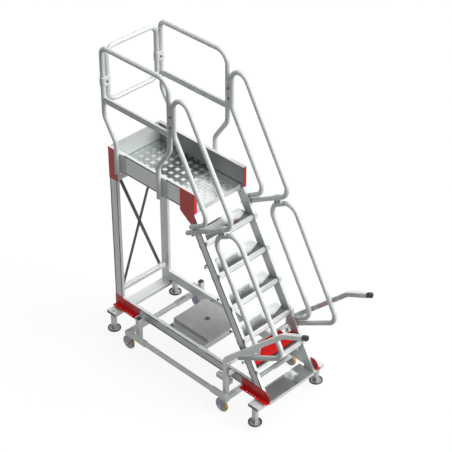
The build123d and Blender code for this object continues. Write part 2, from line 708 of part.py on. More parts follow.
# Wheel frame sides: telescoped square tube, upright at the back, bracket to the base beam
frame_length = FRAME_REAR_Y - FRAME_FRONT_Y
for side_name, side in SIDES:
    with BuildPart() as frame_side:
        rail_plane = Plane(
            origin=(side * FRAME_X, FRAME_FRONT_Y, FRAME_MID_Z), x_dir=(1, 0, 0), z_dir=(0, 1, 0)
        )
        with BuildSketch(rail_plane):
            square_section(FRAME_IN)
        extrude(amount=frame_length)
        for sleeve_y, sleeve_l in ((0, SLEEVE_FRONT), (frame_length - SLEEVE_REAR, SLEEVE_REAR)):
            with BuildSketch(rail_plane.offset(sleeve_y)):
                Rectangle(FRAME_T, FRAME_T)
                Rectangle(FRAME_IN, FRAME_IN, mode=Mode.SUBTRACT)
            extrude(amount=sleeve_l)
        with BuildSketch(Plane.XY.offset(CASTOR_H)):
            with Locations((side * POST_X, FRAME_POST_Y)):
                Rectangle(FRAME_T, FRAME_T)
                Rectangle(FRAME_IN, FRAME_IN, mode=Mode.SUBTRACT)
        extrude(amount=FRAME_POST_TOP - CASTOR_H)
        bracket_x0 = HALF_W
        bracket_x1 = POST_X - FRAME_T / 2
        with Locations(
            (side * (bracket_x0 + bracket_x1) / 2, FRAME_POST_Y + BRACKET_SET, BRACKET_Z)
        ):
            Box(bracket_x1 - bracket_x0, BRACKET_REAR, BRACKET_H)
        with BuildSketch(Plane.XY.offset(CASTOR_H)):
            with Locations((side * FRAME_X, CASTOR_FRONT_Y), (side * FRAME_X, CASTOR_REAR_Y)):
                Circle(AXLE_R + RUN_FIT)
        extrude(amount=FRAME_T, mode=Mode.SUBTRACT)
    save(frame_side.part, f"frame_side_{side_name}")

# Wheel frame cross tubes
cross_half = FRAME_X - FRAME_T / 2
FRAME_CROSSES = (
    ("frame_cross_front", FRAME_FRONT_Y + FRAME_T / 2),
    ("frame_cross_rear", FRAME_REAR_Y - FRAME_T / 2),
)
for name, cross_y in FRAME_CROSSES:
    with BuildPart() as frame_cross:
        cross_plane = Plane(origin=(-cross_half, cross_y, FRAME_MID_Z), x_dir=(0, 1, 0), z_dir=(1, 0, 0))
        with BuildSketch(cross_plane):
            square_section(FRAME_IN)
        extrude(amount=2 * cross_half)
        for sleeve_x in (0, 2 * cross_half - SLEEVE_CROSS):
            with BuildSketch(cross_plane.offset(sleeve_x)):
                Rectangle(FRAME_T, FRAME_T)
                Rectangle(FRAME_IN, FRAME_IN, mode=Mode.SUBTRACT)
            extrude(amount=SLEEVE_CROSS)
    save(frame_cross.part, name)

# Levers: one bent square tube from the wheel frame to the grip, with a lug plate, a side arm and
# the block that holds it to the base beam
lever_ahead = (Vector(0, *LEVER_END) - Vector(0, *LEVER_ELBOW)).normalized()
lever_up = (Vector(0, *LEVER_ELBOW) - Vector(0, LEVER_Y, LEVER_KNEE_Z)).normalized()
for side_name, side in SIDES:
    lever_x = side * POST_X
    lever_line = [
        (lever_x, LEVER_Y, CASTOR_H),
        (lever_x, LEVER_Y, LEVER_KNEE_Z),
        (lever_x, *LEVER_ELBOW),
        (lever_x, *LEVER_END),
    ]
    with BuildPart() as lever:
        with BuildLine() as lever_path:
            bent_line(lever_line, [LEVER_KNEE_R, LEVER_ELBOW_R])
        with BuildSketch(start_plane(lever_line)):
            RectangleRounded(FRAME_T, FRAME_T, 6)
        sweep(path=lever_path.wire())
        if side_name == "left":
            lug_plane = Plane(
                origin=(lever_x - LUG_T / 2, LEVER_Y, LEVER_KNEE_Z), x_dir=lever_up, z_dir=(1, 0, 0)
            )
            lug_end = LUG_START + LUG_L
            with BuildSketch(lug_plane):
                with BuildLine():
                    Polyline(
                        (LUG_START, FRAME_T / 4),
                        (lug_end, FRAME_T / 4),
                        (lug_end, 0.4 * LUG_DEPTH),
                        (lug_end - 0.7 * LUG_DEPTH, LUG_DEPTH),
                        (lug_end - 1.2 * LUG_DEPTH, LUG_DEPTH),
                        (LUG_START, FRAME_T / 2),
                        close=True,
                    )
                make_face()
                with Locations((lug_end - LUG_DEPTH, 0.65 * LUG_DEPTH)):
                    Circle(LUG_HOLE_R, mode=Mode.SUBTRACT)
            extrude(amount=LUG_T)
        lever_in = POST_X - FRAME_T / 2
        arm_y = LEVER_Y - FRAME_T / 2 + LEVER_ARM_L / 2
        arm_z = BEAM_Z0 + LEVER_ARM_DROP - FRAME_T / 2
        with Locations((side * (lever_in - FRAME_T / 2), arm_y, arm_z)):
            Box(FRAME_T, LEVER_ARM_L, FRAME_T)
        block_y = LEVER_Y + FRAME_T / 2 - LEVER_BLOCK_L / 2
        block_z = BEAM_Z0 + LEVER_BLOCK_LIFT + LEVER_BLOCK_H / 2
        with Locations((side * (lever_in + HALF_W) / 2, block_y, block_z)):
            Box(lever_in - HALF_W, LEVER_BLOCK_L, LEVER_BLOCK_H)
    save(lever.part, f"lever_{side_name}")
    with BuildPart() as knob:
        knob_plane = Plane(origin=lever_line[-1], x_dir=(1, 0, 0), z_dir=lever_ahead)
        with BuildSketch(knob_plane):
            Circle(KNOB_R)
        extrude(amount=KNOB_L)
        chamfer(knob.edges(), KNOB_EDGE)
    save(knob.part, f"knob_{side_name}")

with BuildPart() as lever_tie:
    tie_half = POST_X - FRAME_T / 2
    tie_plane = Plane(origin=(-tie_half, LEVER_Y, LEVER_TIE_Z), x_dir=(0, 1, 0), z_dir=(1, 0, 0))
    with BuildSketch(tie_plane):
        square_section(LEVER_TIE)
    extrude(amount=2 * tie_half)
save(lever_tie.part, "lever_tie")

# Castors: fork with its stem, and wheel with its tread
CASTORS = (
    # name, side, swivel axis Y
    ("front_left", -1, CASTOR_FRONT_Y),
    ("front_right", 1, CASTOR_FRONT_Y),
    ("rear_left", -1, CASTOR_REAR_Y),
    ("rear_right", 1, CASTOR_REAR_Y),
)
arm_in = WHEEL_W / 2 + ARM_GAP
crown_z0 = 2 * WHEEL_R + CROWN_GAP
head_z1 = CASTOR_H - SWIVEL_GAP
for name, side, swivel_y in CASTORS:
    castor_x = side * FRAME_X
    axle_y = swivel_y + TRAIL
    with BuildPart() as fork:
        with BuildSketch(Plane.YZ.offset(castor_x - arm_in - ARM_T)):
            with BuildLine():
                Polyline(
                    (swivel_y - CROWN_R, crown_z0 + ARM_T),
                    (swivel_y + TRAIL, crown_z0 + ARM_T),
                    (axle_y + EYE_R, WHEEL_R),
                    (axle_y - EYE_R, WHEEL_R),
                    close=True,
                )
            make_face()
            with Locations((axle_y, WHEEL_R)):
                Circle(EYE_R)
        extrude(amount=2 * (arm_in + ARM_T))
        with Locations((castor_x, swivel_y, crown_z0 / 2)):
            Box(2 * arm_in, 8 * WHEEL_R, crown_z0, mode=Mode.SUBTRACT)
        with BuildSketch(Plane.XY.offset(crown_z0)):
            with Locations((castor_x, swivel_y)):
                Circle(CROWN_R)
        extrude(amount=head_z1 - crown_z0)
        with BuildSketch(Plane.XY.offset(crown_z0)):
            with Locations((castor_x, swivel_y)):
                Circle(AXLE_R)
        extrude(amount=CASTOR_H + FRAME_T + STEM_OVER - crown_z0)
        with BuildSketch(Plane.YZ.offset(castor_x - arm_in)):
            with Locations((axle_y, WHEEL_R)):
                Circle(AXLE_R)
        extrude(amount=2 * arm_in)
    save(fork.part, f"castor_fork_{name}")
    with BuildPart() as wheel:
        wheel_plane = Plane(origin=(castor_x, axle_y, WHEEL_R), x_dir=(1, 0, 0), z_dir=(0, 0, 1))
        with BuildSketch(wheel_plane):
            half = WHEEL_W / 2
            with BuildLine():
                Polyline(
                    (-half, AXLE_R + RUN_FIT),
                    (half, AXLE_R + RUN_FIT),
                    (half, HUB_R),
                    (half - DISH, HUB_R + DISH),
                    (half - DISH, RIM_R - DISH),
                    (half, RIM_R),
                    (half, WHEEL_R - TREAD_EDGE),
                    (half - TREAD_EDGE, WHEEL_R),
                    (TREAD_EDGE - half, WHEEL_R),
                    (-half, WHEEL_R - TREAD_EDGE),
                    (-half, RIM_R),
                    (DISH - half, RIM_R - DISH),
                    (DISH - half, HUB_R + DISH),
                    (-half, HUB_R),
                    close=True,
                )
            make_face()
        revolve(axis=Axis((castor_x, axle_y, WHEEL_R), (1, 0, 0)))
    save(wheel.part, f"castor_wheel_{name}")

# Ballast slab and the tray that hangs it between the base beams
slab_mid_y = (SLAB_Y0 + SLAB_Y1) / 2
with BuildPart() as ballast_slab:
    with BuildSketch(Plane.XY.offset(SLAB_TOP - SLAB_T)):
        with Locations((0, slab_mid_y)):
            Rectangle(2 * SLAB_X, SLAB_Y1 - SLAB_Y0)
            Circle(SLAB_HOLE_R, mode=Mode.SUBTRACT)
    extrude(amount=SLAB_T)
save(ballast_slab.part, "ballast_slab")

tray_z1 = SLAB_TOP - SLAB_T
tray_z0 = tray_z1 - TRAY_FLANGE
hook_z1 = BEAM_Z1 + TRAY_T
with BuildPart() as ballast_tray:
    with BuildSketch(Plane.XY.offset(tray_z1 - TRAY_T)):
        with Locations((0, slab_mid_y)):
            Rectangle(2 * (SLAB_X + TRAY_LEDGE), SLAB_Y1 - SLAB_Y0)
            Circle(SLAB_HOLE_R, mode=Mode.SUBTRACT)
    extrude(amount=TRAY_T)
    for side in (-1, 1):
        wall_x = side * (SLAB_X + TRAY_LEDGE - TRAY_T / 2)
        with Locations((wall_x, slab_mid_y, (tray_z0 + tray_z1) / 2)):
            Box(TRAY_T, SLAB_Y1 - SLAB_Y0, TRAY_FLANGE)
    for edge_y, out in ((SLAB_Y0, -1), (SLAB_Y1, 1)):
        with Locations((0, edge_y + out * TRAY_T / 2, (tray_z0 + tray_z1) / 2)):
            Box(2 * INNER_X, TRAY_T, TRAY_FLANGE)
        for side in (-1, 1):
            hook_y = edge_y + out * HOOK_SET
            with Locations((side * (INNER_X - TRAY_T / 2), hook_y, (tray_z0 + hook_z1) / 2)):
                Box(TRAY_T, HOOK_W, hook_z1 - tray_z0)
            with Locations((side * (INNER_X + WALL_X / 2 - TRAY_T / 2), hook_y, hook_z1 - TRAY_T / 2)):
                Box(WALL_X + TRAY_T, HOOK_W, TRAY_T)
            with Locations((side * (HALF_W + TRAY_T / 2), hook_y, hook_z1 - HOOK_LIP / 2)):
                Box(TRAY_T, HOOK_W, HOOK_LIP)
save(ballast_tray.part, "ballast_tray")
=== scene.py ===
import json
import math

import bmesh
import bpy
from mathutils import Euler, Matrix, Vector


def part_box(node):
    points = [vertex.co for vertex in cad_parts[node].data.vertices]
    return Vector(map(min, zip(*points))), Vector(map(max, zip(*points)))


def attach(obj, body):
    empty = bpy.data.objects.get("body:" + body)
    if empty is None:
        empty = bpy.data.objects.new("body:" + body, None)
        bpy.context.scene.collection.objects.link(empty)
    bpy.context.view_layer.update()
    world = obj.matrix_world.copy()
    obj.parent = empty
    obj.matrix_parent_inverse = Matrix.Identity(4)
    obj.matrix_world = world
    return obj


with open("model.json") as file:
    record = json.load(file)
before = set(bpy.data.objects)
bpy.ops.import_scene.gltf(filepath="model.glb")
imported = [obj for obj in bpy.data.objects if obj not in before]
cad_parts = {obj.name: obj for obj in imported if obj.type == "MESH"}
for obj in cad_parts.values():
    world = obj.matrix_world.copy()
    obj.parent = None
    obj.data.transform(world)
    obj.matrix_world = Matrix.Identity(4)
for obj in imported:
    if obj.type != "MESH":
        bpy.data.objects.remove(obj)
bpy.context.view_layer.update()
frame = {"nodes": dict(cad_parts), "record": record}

scene = bpy.context.scene
scene.view_settings.view_transform = "Standard"
nodes = frame["nodes"]
slot_of = {row["node"]: row["material_slot"] for row in frame["record"]["subparts"]}
SIDES = (("left", -1), ("right", 1))
CORNERS = ("front_left", "front_right", "rear_left", "rear_right")

# The ladder's own sizes that pieces and colours follow, in metres
PITCH = math.radians(60)
NOSE_Y = -0.674
RISE = 0.24
RISERS = 7
STRINGER_W = 0.086
PROFILE_W = 0.025
TUBE_R = 0.020
TRAVERSE_W = 0.105
TRAVERSE_H = 0.028
FOOT_PLATE_T = 0.012
TREAD_BAND = 0.0565
STEP_HALF = 0.30
DECK_CELL = 0.035
JOINT_W = 0.006
SLOT_REACH = 0.016

# Share of red, green and blue in the greys
METAL_CAST = (0.968, 1.0, 0.985)

# Normal components past which a face counts as looking up, sideways or down
UP = 0.6
ASIDE = 0.5
DOWN = -0.3

# Shares of the foot plate's radius, the deck's depth and a tread's box where the finish, the painted shade
# and the painted reflection change
FOOT_DISH = 0.80
DECK_NOSE = 0.03
NOSE_SHARE = 0.15
FRONT_SHARE = 0.01
LIP_LINE = 0.13
GROOVE_FLOOR = 0.88
REFLECTION_LEAN = 1.02
REFLECTION_END = 0.42


def middle(node):
    """Centre of a node's box."""
    low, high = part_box(node)
    return [(a + b) / 2 for a, b in zip(low, high)]


# Materials

def new_material(name):
    mat = bpy.data.materials.new(name)
    mat.use_nodes = True
    tree = mat.node_tree
    return mat, tree, tree.nodes["Principled BSDF"]


def add(tree, kind, **values):
    node = tree.nodes.new(kind)
    for key, value in values.items():
        setattr(node, key, value)
    return node


def noise(tree, scale, detail=4.0, stretch=(1, 1, 1), turn=0.0):
    """Noise in the object's own metres, turned about X and then stretched along the given axes."""
    coords = add(tree, "ShaderNodeTexCoord")
    turned = add(tree, "ShaderNodeMapping")
    turned.inputs["Rotation"].default_value = (turn, 0, 0)
    mapping = add(tree, "ShaderNodeMapping")
    mapping.inputs["Scale"].default_value = stretch
    tree.links.new(coords.outputs["Object"], turned.inputs["Vector"])
    tree.links.new(turned.outputs["Vector"], mapping.inputs["Vector"])
    tex = add(tree, "ShaderNodeTexNoise")
    tex.inputs["Scale"].default_value = scale
    tex.inputs["Detail"].default_value = detail
    tree.links.new(mapping.outputs["Vector"], tex.inputs["Vector"])
    return tex.outputs["Fac"]


def ramp(tree, fac, stops):
    """Colour ramp with the given (position, colour) stops."""
    node = add(tree, "ShaderNodeValToRGB")
    elements = node.color_ramp.elements
    elements[0].position, elements[0].color = stops[0][0], (*stops[0][1], 1)
    elements[1].position, elements[1].color = stops[-1][0], (*stops[-1][1], 1)
    for position, colour in stops[1:-1]:
        elements.new(position).color = (*colour, 1)
    tree.links.new(fac, node.inputs["Fac"])
    return node.outputs["Color"]


def grey(value):
    """Grey of the given level with the metal's faint green cast."""
    return tuple(value * share for share in METAL_CAST)


def blend(tree, mode, fac, a, b):
    """Mix of two colours; fac and both colours may be sockets or plain values."""
    node = add(tree, "ShaderNodeMix", data_type="RGBA", blend_type=mode)
    for socket, value in ((node.inputs["Factor"], fac), (node.inputs[6], a), (node.inputs[7], b)):
        if isinstance(value, bpy.types.NodeSocket):
            tree.links.new(value, socket)
        else:
            socket.default_value = value if isinstance(value, float) else (*value, 1)
    return node.outputs[2]


def maths(tree, operation, a, b=0.0):
    node = add(tree, "ShaderNodeMath", operation=operation)
    for socket, value in zip(node.inputs, (a, b)):
        if isinstance(value, bpy.types.NodeSocket):
            tree.links.new(value, socket)
        else:
            socket.default_value = value
    return node.outputs["Value"]


def axis_of(tree, source, output, axis):
    """One component of a coordinate or normal output."""
    node = add(tree, source)
    split = add(tree, "ShaderNodeSeparateXYZ")
    tree.links.new(node.outputs[output], split.inputs["Vector"])
    return split.outputs[axis]


def place_of(tree, axis):
    """Place along an axis of the shared frame, in metres."""
    return axis_of(tree, "ShaderNodeTexCoord", "Object", axis)


def share_of(tree, axis):
    """Place along an axis as a share of the piece's own box."""
    return axis_of(tree, "ShaderNodeTexCoord", "Generated", axis)


def normal_of(tree, axis):
    return axis_of(tree, "ShaderNodeNewGeometry", "Normal", axis)


def facing_up(tree):
    return maths(tree, "GREATER_THAN", normal_of(tree, "Z"), UP)


def bump(tree, height, strength, distance):
    node = add(tree, "ShaderNodeBump")
    node.inputs["Strength"].default_value = strength
    node.inputs["Distance"].default_value = distance
    tree.links.new(height, node.inputs["Height"])
    return node.outputs["Normal"]


def painted_crevice_shade(tree, reach, dark, local=True, stops=(0.42, 0.80)):
    """Painted shade: a factor that falls in narrow slots and inner corners, of the piece itself or of all
    pieces.
    """
    node = add(tree, "ShaderNodeAmbientOcclusion", samples=8, only_local=local)
    node.inputs["Distance"].default_value = reach
    return ramp(tree, node.outputs["AO"], [(stops[0], grey(dark)), (stops[1], (1, 1, 1))])


def aluminium(
    name, value, rough, metallic, stretch=(1, 1, 1), turn=0.0, dark=None, contact_shade_reach=None, shine=0.5, painted_top_light=None
):
    """Satin drawn metal with draw lines and clouded gloss.

    If given, dark is the tone of painted shade in its own slots, contact_shade_reach the reach of painted
    shade beside other pieces and painted_top_light the tone of painted light on the faces that look up.
    """
    mat, tree, shader = new_material(name)
    lines = noise(tree, 260, 3, stretch, turn)
    colour = ramp(tree, lines, [(0.3, grey(value - 0.05)), (0.7, grey(value + 0.05))])
    cloud = noise(tree, 7, 4)
    colour = blend(tree, "MULTIPLY", 0.5, colour, ramp(tree, cloud, [(0.3, grey(0.86)), (0.7, grey(1.0))]))
    # Painted shade in the piece's own slots
    if dark is not None:
        colour = blend(tree, "MULTIPLY", 1.0, colour, painted_crevice_shade(tree, SLOT_REACH, dark))
    # Painted light on the faces that look up
    if painted_top_light is not None:
        colour = blend(tree, "MIX", facing_up(tree), colour, grey(painted_top_light))
    # Painted shade where other pieces stand close
    if contact_shade_reach is not None:
        colour = blend(tree, "MULTIPLY", 1.0, colour, painted_crevice_shade(tree, contact_shade_reach, 0.25, False, (0.35, 0.85)))
    tree.links.new(colour, shader.inputs["Base Color"])
    gloss = ramp(tree, cloud, [(0.3, grey(rough - 0.05)), (0.7, grey(rough + 0.05))])
    tree.links.new(gloss, shader.inputs["Roughness"])
    shader.inputs["Metallic"].default_value = metallic
    shader.inputs["Specular IOR Level"].default_value = shine
    tree.links.new(bump(tree, lines, 0.05, 0.0006), shader.inputs["Normal"])
    return mat


def coated(name, low, high, rough, grain=900, depth=0.08, painted_top_light=None):
    """Painted, moulded or cast surface with clouded colour, a fine grain and, if given, painted light on
    its tops.
    """
    mat, tree, shader = new_material(name)
    colour = ramp(tree, noise(tree, 14, 4), [(0.3, low), (0.7, high)])
    if painted_top_light is not None:
        # Painted light on the faces that look up
        colour = blend(tree, "MIX", facing_up(tree), colour, painted_top_light)
    tree.links.new(colour, shader.inputs["Base Color"])
    shader.inputs["Roughness"].default_value = rough
    tree.links.new(bump(tree, noise(tree, grain, 3), depth, 0.0006), shader.inputs["Normal"])
    return mat


ALONG_Y = (1, 0.02, 1)
ALONG_Z = (1, 1, 0.02)
ALONG_X = (0.02, 1, 1)
# The profiles take painted shade in their slots and painted light on their tops; the rear board only the
# shade
PROFILE = dict(value=0.70, rough=0.36, metallic=0.25, dark=0.02, painted_top_light=0.92)
profile_y = aluminium("profile_alu", stretch=ALONG_Y, **PROFILE)
profile_x = aluminium("profile_alu_cross", stretch=ALONG_X, **PROFILE)
board_x = aluminium("profile_alu_board", 0.62, 0.62, 0.0, stretch=ALONG_X, dark=PROFILE["dark"])
profile_z = aluminium("profile_alu_upright", stretch=ALONG_Z, **PROFILE)
# The stringers take painted shade where other pieces stand close beside them
profile_stair = aluminium("profile_alu_stair", stretch=ALONG_Y, turn=-PITCH, contact_shade_reach=0.20, **PROFILE)
tube_alu = aluminium("tube_alu", 0.84, 0.30, 0.03, stretch=(1, 0.3, 0.3), shine=0.25)
frame_alu = aluminium("frame_alu", 0.65, 0.38, 0.30, stretch=(0.1, 0.1, 1))
# The levers take painted light on their tops
lever_alu = aluminium("lever_alu", 0.66, 0.30, 0.35, stretch=(1, 0.1, 0.3), painted_top_light=0.97)
zinc = aluminium("zinc", 0.30, 0.34, 0.75)
nut_zinc = aluminium("nut_zinc", 0.70, 0.34, 0.40)
nose_alu = aluminium("nose_alu", 0.92, 0.36, 0.55, stretch=ALONG_X)
dark_bolt = aluminium("dark_bolt", 0.08, 0.40, 0.5)
# Near-black finish of the strips that are painted shade in the profiles' slots
slot_shade = coated("slot_shade", (0.018, 0.022, 0.024), (0.03, 0.034, 0.036), 0.7)
black_plastic = coated("black_plastic", (0.010, 0.010, 0.011), (0.018, 0.018, 0.02), 0.22)
cap_grey = coated("cap_grey", (0.28, 0.28, 0.27), (0.36, 0.36, 0.35), 0.5)
fork_coat = coated("fork_coat", (0.58, 0.58, 0.71), (0.68, 0.68, 0.82), 0.42)
slate_coat = coated("slate_coat", (0.045, 0.055, 0.07), (0.065, 0.075, 0.095), 0.5)
ballast = coated("ballast", (0.49, 0.49, 0.49), (0.55, 0.55, 0.55), 0.7, 260, 0.2)


def tread_metal(name):
    """Bright ribbed metal: mirror-like rib tops, pale nose with painted shade along its lower edge, and
    matt ends and underside darkened by painted shade.

    The grooves between the ribs carry painted reflection: dark at the front and near the right end, and
    pale behind.
    """
    mat, tree, shader = new_material(name)
    lines = noise(tree, 240, 3, ALONG_X)
    across, depth, height = (share_of(tree, axis) for axis in "XYZ")
    walk = maths(tree, "GREATER_THAN", depth, NOSE_SHARE)
    front = maths(tree, "LESS_THAN", depth, FRONT_SHARE)
    rib_top = maths(tree, "MULTIPLY", walk, facing_up(tree))

    lip = ramp(tree, lines, [(0.3, grey(0.92)), (0.7, grey(0.97))])
    face = ramp(tree, lines, [(0.3, grey(0.92)), (0.7, grey(0.98))])
    colour = blend(tree, "MIX", rib_top, lip, face)
    # Painted shade along the lower edge of the nose
    edge = maths(tree, "MULTIPLY", front, maths(tree, "LESS_THAN", height, LIP_LINE))
    colour = blend(tree, "MIX", edge, colour, grey(0.12))

    # Painted shade on the rib sides, the ends and the underside
    groove = maths(tree, "MULTIPLY", walk, maths(tree, "LESS_THAN", normal_of(tree, "Y"), -ASIDE))
    end = maths(tree, "GREATER_THAN", maths(tree, "ABSOLUTE", normal_of(tree, "X")), ASIDE)
    shaded_faces = maths(tree, "LESS_THAN", normal_of(tree, "Z"), DOWN)
    dull_and_shaded = maths(tree, "MAXIMUM", maths(tree, "MAXIMUM", groove, end), shaded_faces)
    # Painted reflection in the grooves: dark at the front and towards the right end, pale behind
    lean = maths(tree, "SUBTRACT", across, maths(tree, "MULTIPLY", depth, REFLECTION_LEAN))
    wear_and_painted_reflection = maths(tree, "LESS_THAN", lean, REFLECTION_END)
    wear_and_painted_reflection = maths(tree, "MULTIPLY", wear_and_painted_reflection, maths(tree, "GREATER_THAN", height, GROOVE_FLOOR))
    wear_and_painted_reflection = maths(tree, "MULTIPLY", wear_and_painted_reflection, depth)
    shade = ramp(tree, wear_and_painted_reflection, [(0.34, grey(0.06)), (0.68, grey(0.95))])
    tree.links.new(blend(tree, "MIX", dull_and_shaded, colour, shade), shader.inputs["Base Color"])

    bare = maths(tree, "MAXIMUM", rib_top, maths(tree, "MULTIPLY", front, 0.75))
    tree.links.new(maths(tree, "MAXIMUM", bare, 0.05), shader.inputs["Metallic"])
    gloss = ramp(tree, rib_top, [(0.0, grey(0.40)), (1.0, grey(0.115))])
    tree.links.new(gloss, shader.inputs["Roughness"])
    tree.links.new(bump(tree, lines, 0.03, 0.0003), shader.inputs["Normal"])
    return mat


def step_metal(name):
    """Hollow cross section whose top wears bright between the stringers, as the first step."""
    mat = aluminium(name, stretch=ALONG_X, **PROFILE)
    tree = mat.node_tree
    shader = tree.nodes["Principled BSDF"]
    between = maths(tree, "LESS_THAN", maths(tree, "ABSOLUTE", place_of(tree, "X")), STEP_HALF)
    wear_and_painted_reflection = maths(tree, "MULTIPLY", facing_up(tree), between)
    plain = shader.inputs["Base Color"].links[0].from_socket
    tree.links.new(blend(tree, "MIX", wear_and_painted_reflection, plain, grey(0.95)), shader.inputs["Base Color"])
    for socket, key, bright in (("Metallic", "metallic", 0.88), ("Roughness", "rough", 0.14)):
        level = ramp(tree, wear_and_painted_reflection, [(0.0, grey(PROFILE[key])), (1.0, grey(bright))])
        tree.links.new(level, shader.inputs[socket])
    return mat


def chequer_metal(name, low, high):
    """Bright deck sheet: every second cell both ways is polished, the net between is duller
    and carries painted reflection: near white at the front, dark across the middle, paler towards the rear.

    Dark joints run along the right and rear edges, and the underside behind the nose carries painted shade.
    """
    mat, tree, shader = new_material(name)
    polished = None
    for axis, start in (("X", low[0]), ("Y", low[1])):
        place = maths(tree, "SUBTRACT", place_of(tree, axis), start)
        share = maths(tree, "FRACT", maths(tree, "DIVIDE", place, 2 * DECK_CELL))
        cell = maths(tree, "LESS_THAN", share, 0.5)
        polished = cell if polished is None else maths(tree, "MULTIPLY", polished, cell)
    depth = share_of(tree, "Y")
    # Painted reflection in the net, changing from front to rear
    wear_and_painted_reflection = [(0.0, 0.98), (0.26, 0.92), (0.38, 0.28), (0.62, 0.16), (0.80, 0.55), (1.0, 0.80)]
    net = ramp(tree, depth, [(spot, grey(value)) for spot, value in wear_and_painted_reflection])
    cloud = ramp(tree, noise(tree, 11, 4), [(0.3, grey(0.92)), (0.7, grey(1.0))])
    face = blend(tree, "MULTIPLY", 0.6, blend(tree, "MIX", polished, net, grey(0.97)), cloud)
    for axis, end in (("X", high[0]), ("Y", high[1])):
        rest = maths(tree, "SUBTRACT", end, place_of(tree, axis))
        face = blend(tree, "MIX", maths(tree, "LESS_THAN", rest, JOINT_W), face, grey(0.03))
    up = facing_up(tree)
    # Painted shade on the underside behind the nose
    shaded_faces = blend(tree, "MIX", maths(tree, "LESS_THAN", depth, DECK_NOSE), grey(0.06), grey(0.74))
    tree.links.new(blend(tree, "MIX", up, shaded_faces, face), shader.inputs["Base Color"])
    tree.links.new(ramp(tree, up, [(0.0, grey(0.2)), (1.0, grey(0.97))]), shader.inputs["Metallic"])
    shader.inputs["Roughness"].default_value = 0.14
    tree.links.new(bump(tree, noise(tree, 300, 3), 0.05, 0.0005), shader.inputs["Normal"])
    return mat


def board_metal(name, side):
    """Side board: satin profile outside, with painted shade making it dark inside above the deck."""
    mat = aluminium(name, stretch=ALONG_Y, **PROFILE)
    tree = mat.node_tree
    shader = tree.nodes["Principled BSDF"]
    # Painted shade: the inner face is dark
    inward = maths(tree, "MULTIPLY", normal_of(tree, "X"), -float(side))
    inner = maths(tree, "GREATER_THAN", inward, ASIDE)
    outside = shader.inputs["Base Color"].links[0].from_socket
    tree.links.new(blend(tree, "MIX", inner, outside, grey(0.24)), shader.inputs["Base Color"])
    metallic = ramp(tree, inner, [(0.0, grey(PROFILE["metallic"])), (1.0, grey(0.0))])
    tree.links.new(metallic, shader.inputs["Metallic"])
    return mat


def cover_coat(name):
    """Red coat with painted shade deepening it on faces that look forward and down."""
    mat, tree, shader = new_material(name)
    cloud = noise(tree, 14, 4)
    bright = ramp(tree, cloud, [(0.3, (0.60, 0.010, 0.012)), (0.7, (0.66, 0.016, 0.016))])
    # Painted shade on faces that look forward and down
    shaded_faces = maths(tree, "LESS_THAN", normal_of(tree, "Z"), 0.2)
    tree.links.new(blend(tree, "MIX", shaded_faces, bright, (0.055, 0.002, 0.003)), shader.inputs["Base Color"])
    shader.inputs["Roughness"].default_value = 0.5
    shader.inputs["Specular IOR Level"].default_value = 0.12
    tree.links.new(bump(tree, noise(tree, 900, 3), 0.08, 0.0006), shader.inputs["Normal"])
    return mat


def foot_metal(name, low, high):
    """Pale square leg on a round plate with a dark rim."""
    mat, tree, shader = new_material(name)
    height = place_of(tree, "Z")
    leg = maths(tree, "GREATER_THAN", height, low[2] + FOOT_PLATE_T)
    cloud = noise(tree, 40, 4)
    offsets = []
    for axis, a, b in zip("XY", low, high):
        shift = maths(tree, "SUBTRACT", place_of(tree, axis), (a + b) / 2)
        offsets.append(maths(tree, "MULTIPLY", shift, shift))
    radius = maths(tree, "SQRT", maths(tree, "ADD", *offsets))
    rim = maths(tree, "GREATER_THAN", radius, FOOT_DISH * (high[0] - low[0]) / 2)
    dish = ramp(tree, cloud, [(0.3, grey(0.34)), (0.7, grey(0.44))])
    plate = blend(tree, "MIX", rim, dish, grey(0.07))
    tube = ramp(tree, cloud, [(0.3, grey(0.50)), (0.7, grey(0.58))])
    tree.links.new(blend(tree, "MIX", leg, plate, tube), shader.inputs["Base Color"])
    shader.inputs["Metallic"].default_value = 0.45
    shader.inputs["Roughness"].default_value = 0.36
    tree.links.new(bump(tree, noise(tree, 500, 3), 0.08, 0.0006), shader.inputs["Normal"])
    return mat


def wheel_coat(name, axle):
    """Lavender-grey wheel disc with a darker hub and an orange tread band, round the given axle."""
    mat, tree, shader = new_material(name)
    coords = add(tree, "ShaderNodeTexCoord")
    shift = add(tree, "ShaderNodeMapping")
    shift.inputs["Location"].default_value = (0, -axle[1], -axle[2])
    flat = add(tree, "ShaderNodeMapping")
    flat.inputs["Scale"].default_value = (0, 1, 1)
    length = add(tree, "ShaderNodeVectorMath", operation="LENGTH")
    tree.links.new(coords.outputs["Object"], shift.inputs["Vector"])
    tree.links.new(shift.outputs["Vector"], flat.inputs["Vector"])
    tree.links.new(flat.outputs["Vector"], length.inputs[0])
    radius = length.outputs["Value"]
    band = maths(tree, "GREATER_THAN", radius, TREAD_BAND)
    cloud = noise(tree, 60, 4)
    disc = ramp(tree, cloud, [(0.3, (0.72, 0.72, 0.88)), (0.7, (0.82, 0.82, 0.97))])
    decimetres = maths(tree, "MULTIPLY", radius, 10.0)
    hub = ramp(tree, decimetres, [(0.17, grey(0.55)), (0.24, (1, 1, 1))])
    disc = blend(tree, "MULTIPLY", 1.0, disc, hub)
    tread = ramp(tree, cloud, [(0.3, (0.76, 0.38, 0.02)), (0.7, (0.84, 0.44, 0.03))])
    tree.links.new(blend(tree, "MIX", band, disc, tread), shader.inputs["Base Color"])
    shader.inputs["Roughness"].default_value = 0.42
    tree.links.new(bump(tree, noise(tree, 700, 3), 0.08, 0.0006), shader.inputs["Normal"])
    return mat


